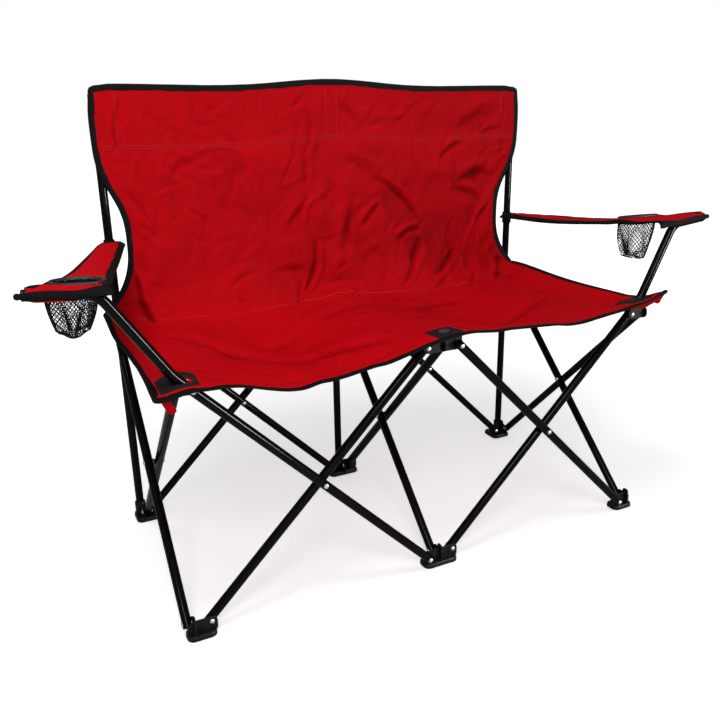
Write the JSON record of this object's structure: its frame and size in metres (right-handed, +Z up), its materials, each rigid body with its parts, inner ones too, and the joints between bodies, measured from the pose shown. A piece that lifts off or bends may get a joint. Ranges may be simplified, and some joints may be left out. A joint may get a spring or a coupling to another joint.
{
  "type": "folding camping loveseat",
  "caption": "Folding camping seat for two: crossed black steel tubes, a red cloth sling seat and back, and cloth armrests with net cup holders.",
  "frame": {"origin": "on the floor, under the middle of the overall box", "axes": "+X along the width to the viewer's right, -Y to the front, +Z up"},
  "size_m": [1.302, 0.4994, 0.877],
  "materials": {
    "frame_tube": "gloss black powder coat",
    "plastic": "satin black",
    "rivet": "bright",
    "cloth": "plain woven polyester",
    "webbing": "woven black",
    "net": "knotted black net"
  },
  "bodies": {
    "rear_centre_foot": {"rear_centre_foot": "plastic", "centre_back_post": "frame_tube", "centre_post_cap": "plastic", "back_panel": "cloth"},
    "rear_left_inner_tube": {"rear_left_inner_tube": "frame_tube", "rear_left_rivet": "rivet"},
    "rear_left_outer_tube": {"rear_left_outer_tube": "frame_tube"},
    "rear_left_foot": {"rear_left_foot": "plastic", "left_back_post": "frame_tube", "left_post_cap": "plastic"},
    "rear_left_slider": {"rear_left_slider": "plastic"},
    "rear_centre_slider": {"rear_centre_slider": "plastic"},
    "rear_right_inner_tube": {"rear_right_inner_tube": "frame_tube", "rear_right_rivet": "rivet"},
    "rear_right_outer_tube": {"rear_right_outer_tube": "frame_tube"},
    "rear_right_foot": {"rear_right_foot": "plastic", "right_back_post": "frame_tube", "right_post_cap": "plastic"},
    "rear_right_slider": {"rear_right_slider": "plastic"},
    "seat_rear_panel": {"seat_rear_panel": "cloth"},
    "seat_front_panel": {"seat_front_panel": "cloth"},
    "left_side_rear_tube": {"left_side_rear_tube": "frame_tube", "left_side_rivet": "rivet"},
    "left_side_front_tube": {"left_side_front_tube": "frame_tube"},
    "front_left_foot": {"front_left_foot": "plastic"},
    "front_left_bracket": {"front_left_bracket": "plastic", "left_seat_patch": "webbing", "left_corner_loop": "cloth"},
    "centre_side_rear_tube": {"centre_side_rear_tube": "frame_tube", "centre_side_rivet": "rivet"},
    "centre_side_front_tube": {"centre_side_front_tube": "frame_tube"},
    "front_centre_foot": {"front_centre_foot": "plastic"},
    "front_centre_bracket": {"front_centre_bracket": "plastic", "centre_seat_patch": "webbing"},
    "right_side_rear_tube": {"right_side_rear_tube": "frame_tube", "right_side_rivet": "rivet"},
    "right_side_front_tube": {"right_side_front_tube": "frame_tube"},
    "front_right_foot": {"front_right_foot": "plastic"},
    "front_right_bracket": {"front_right_bracket": "plastic", "right_seat_patch": "webbing", "right_corner_loop": "cloth"},
    "front_left_arm_tube": {"front_left_arm_tube": "frame_tube", "front_left_rivet": "rivet", "left_arm_plug": "plastic"},
    "front_left_leg_tube": {"front_left_leg_tube": "frame_tube"},
    "left_armrest": {"left_armrest": "cloth", "left_cup_ring": "webbing", "left_cup_net": "net"},
    "front_right_arm_tube": {"front_right_arm_tube": "frame_tube", "front_right_rivet": "rivet", "right_arm_plug": "plastic"},
    "front_right_leg_tube": {"front_right_leg_tube": "frame_tube"},
    "right_armrest": {"right_armrest": "cloth", "right_cup_ring": "webbing", "right_cup_net": "net"}
  },
  "joints": [
    {"name": "fold", "type": "hinge", "parent": "rear_centre_foot", "child": "rear_left_inner_tube", "pos_m": [-0.02903, 0.21773, 0.022], "axis": [0, 1, 0], "range_deg": [0, 35], "deforming": ["back_panel", "seat_rear_panel", "seat_front_panel", "left_armrest", "left_cup_ring", "left_cup_net", "right_armrest", "right_cup_ring", "right_cup_net", "left_seat_patch", "centre_seat_patch", "right_seat_patch"]},
    {"name": "rear_left_cross", "type": "hinge", "parent": "rear_left_inner_tube", "child": "rear_left_outer_tube", "pos_m": [-0.23403, 0.21773, 0.225], "axis": [0, 1, 0], "range_deg": [-70.01, 0]},
    {"name": "rear_left_foot_turn", "type": "hinge", "parent": "rear_left_outer_tube", "child": "rear_left_foot", "pos_m": [-0.43903, 0.21773, 0.022], "axis": [0, 1, 0], "range_deg": [0, 35.01]},
    {"name": "rear_left_slider_turn", "type": "hinge", "parent": "rear_left_inner_tube", "child": "rear_left_slider", "pos_m": [-0.43903, 0.21773, 0.428], "axis": [0, 1, 0], "range_deg": [-35.01, 0]},
    {"name": "rear_centre_slider_turn", "type": "hinge", "parent": "rear_left_outer_tube", "child": "rear_centre_slider", "pos_m": [-0.02903, 0.21773, 0.428], "axis": [0, 1, 0], "range_deg": [0, 35.01]},
    {"name": "rear_right_fold", "type": "hinge", "parent": "rear_centre_foot", "child": "rear_right_inner_tube", "pos_m": [0.02903, 0.21773, 0.022], "axis": [0, 1, 0], "range_deg": [-35.01, 0]},
    {"name": "rear_right_cross", "type": "hinge", "parent": "rear_right_inner_tube", "child": "rear_right_outer_tube", "pos_m": [0.23403, 0.21773, 0.225], "axis": [0, 1, 0], "range_deg": [0, 70.01]},
    {"name": "rear_right_foot_turn", "type": "hinge", "parent": "rear_right_outer_tube", "child": "rear_right_foot", "pos_m": [0.43903, 0.21773, 0.022], "axis": [0, 1, 0], "range_deg": [-35.01, 0]},
    {"name": "rear_right_slider_turn", "type": "hinge", "parent": "rear_right_inner_tube", "child": "rear_right_slider", "pos_m": [0.43903, 0.21773, 0.428], "axis": [0, 1, 0], "range_deg": [0, 35.01]},
    {"name": "left_side_fold", "type": "hinge", "parent": "rear_left_foot", "child": "left_side_rear_tube", "pos_m": [-0.46806, 0.205, 0.022], "axis": [1, 0, 0], "range_deg": [-35.01, 0]},
    {"name": "left_side_cross", "type": "hinge", "parent": "left_side_rear_tube", "child": "left_side_front_tube", "pos_m": [-0.46806, 0, 0.225], "axis": [1, 0, 0], "range_deg": [0, 70.01]},
    {"name": "front_left_foot_turn", "type": "hinge", "parent": "left_side_front_tube", "child": "front_left_foot", "pos_m": [-0.46806, -0.205, 0.022], "axis": [1, 0, 0], "range_deg": [-35.01, 0]},
    {"name": "front_left_bracket_turn", "type": "hinge", "parent": "left_side_rear_tube", "child": "front_left_bracket", "pos_m": [-0.46806, -0.205, 0.428], "axis": [1, 0, 0], "range_deg": [0, 35.01]},
    {"name": "centre_side_fold", "type": "hinge", "parent": "rear_centre_foot", "child": "centre_side_rear_tube", "pos_m": [0, 0.205, 0.022], "axis": [1, 0, 0], "range_deg": [-35.01, 0]},
    {"name": "centre_side_cross", "type": "hinge", "parent": "centre_side_rear_tube", "child": "centre_side_front_tube", "pos_m": [0, 0, 0.225], "axis": [1, 0, 0], "range_deg": [0, 70.01]},
    {"name": "front_centre_foot_turn", "type": "hinge", "parent": "centre_side_front_tube", "child": "front_centre_foot", "pos_m": [0, -0.205, 0.022], "axis": [1, 0, 0], "range_deg": [-35.01, 0]},
    {"name": "front_centre_bracket_turn", "type": "hinge", "parent": "centre_side_rear_tube", "child": "front_centre_bracket", "pos_m": [0, -0.205, 0.428], "axis": [1, 0, 0], "range_deg": [0, 35.01]},
    {"name": "right_side_fold", "type": "hinge", "parent": "rear_right_foot", "child": "right_side_rear_tube", "pos_m": [0.46806, 0.205, 0.022], "axis": [1, 0, 0], "range_deg": [-35.01, 0]},
    {"name": "right_side_cross", "type": "hinge", "parent": "right_side_rear_tube", "child": "right_side_front_tube", "pos_m": [0.46806, 0, 0.225], "axis": [1, 0, 0], "range_deg": [0, 70.01]},
    {"name": "front_right_foot_turn", "type": "hinge", "parent": "right_side_front_tube", "child": "front_right_foot", "pos_m": [0.46806, -0.205, 0.022], "axis": [1, 0, 0], "range_deg": [-35.01, 0]},
    {"name": "front_right_bracket_turn", "type": "hinge", "parent": "right_side_rear_tube", "child": "front_right_bracket", "pos_m": [0.46806, -0.205, 0.428], "axis": [1, 0, 0], "range_deg": [0, 35.01]},
    {"name": "front_left_fold", "type": "hinge", "parent": "front_centre_foot", "child": "front_left_arm_tube", "pos_m": [-0.02903, -0.21773, 0.022], "axis": [0, 1, 0], "range_deg": [0, 35.01]},
    {"name": "front_left_cross", "type": "hinge", "parent": "front_left_arm_tube", "child": "front_left_leg_tube", "pos_m": [-0.23403, -0.21773, 0.225], "axis": [0, 1, 0], "range_deg": [-70.01, 0]},
    {"name": "left_armrest_drop", "type": "hinge", "parent": "front_left_arm_tube", "child": "left_armrest", "pos_m": [-0.6, -0.22723, 0.593], "axis": [1, 0, 0], "range_deg": [-45.21, 0]},
    {"name": "front_right_fold", "type": "hinge", "parent": "front_centre_foot", "child": "front_right_arm_tube", "pos_m": [0.02903, -0.21773, 0.022], "axis": [0, 1, 0], "range_deg": [-35.01, 0]},
    {"name": "front_right_cross", "type": "hinge", "parent": "front_right_arm_tube", "child": "front_right_leg_tube", "pos_m": [0.23403, -0.21773, 0.225], "axis": [0, 1, 0], "range_deg": [0, 70.01]},
    {"name": "right_armrest_drop", "type": "hinge", "parent": "front_right_arm_tube", "child": "right_armrest", "pos_m": [0.6, -0.20823, 0.593], "axis": [1, 0, 0], "range_deg": [-49.01, 0]},
    {"name": "seat_rear_lift", "type": "hinge", "parent": "rear_centre_slider", "child": "seat_rear_panel", "pos_m": [0, 0.21773, 0.442], "axis": [1, 0, 0], "range_deg": [-72.86, 0]},
    {"name": "seat_front_lift", "type": "hinge", "parent": "front_centre_bracket", "child": "seat_front_panel", "pos_m": [0, -0.21773, 0.442], "axis": [1, 0, 0], "range_deg": [0, 72.86]}
  ],
  "couplings": [
    {"joint": "rear_left_cross", "follows": "fold", "ratio": -2},
    {"joint": "rear_left_foot_turn", "follows": "fold", "ratio": 1},
    {"joint": "rear_left_slider_turn", "follows": "fold", "ratio": -1},
    {"joint": "rear_centre_slider_turn", "follows": "fold", "ratio": 1},
    {"joint": "rear_right_fold", "follows": "fold", "ratio": -1},
    {"joint": "rear_right_cross", "follows": "fold", "ratio": 2},
    {"joint": "rear_right_foot_turn", "follows": "fold", "ratio": -1},
    {"joint": "rear_right_slider_turn", "follows": "fold", "ratio": 1},
    {"joint": "left_side_fold", "follows": "fold", "ratio": -1},
    {"joint": "left_side_cross", "follows": "fold", "ratio": 2},
    {"joint": "front_left_foot_turn", "follows": "fold", "ratio": -1},
    {"joint": "front_left_bracket_turn", "follows": "fold", "ratio": 1},
    {"joint": "centre_side_fold", "follows": "fold", "ratio": -1},
    {"joint": "centre_side_cross", "follows": "fold", "ratio": 2},
    {"joint": "front_centre_foot_turn", "follows": "fold", "ratio": -1},
    {"joint": "front_centre_bracket_turn", "follows": "fold", "ratio": 1},
    {"joint": "right_side_fold", "follows": "fold", "ratio": -1},
    {"joint": "right_side_cross", "follows": "fold", "ratio": 2},
    {"joint": "front_right_foot_turn", "follows": "fold", "ratio": -1},
    {"joint": "front_right_bracket_turn", "follows": "fold", "ratio": 1},
    {"joint": "front_left_fold", "follows": "fold", "ratio": 1},
    {"joint": "front_left_cross", "follows": "fold", "ratio": -2},
    {"joint": "left_armrest_drop", "follows": "fold", "ratio": -1.2914},
    {"joint": "front_right_fold", "follows": "fold", "ratio": -1},
    {"joint": "front_right_cross", "follows": "fold", "ratio": 2},
    {"joint": "right_armrest_drop", "follows": "fold", "ratio": -1.4},
    {"joint": "seat_rear_lift", "follows": "fold", "ratio": -2.0813},
    {"joint": "seat_front_lift", "follows": "fold", "ratio": 2.0813}
  ]
}
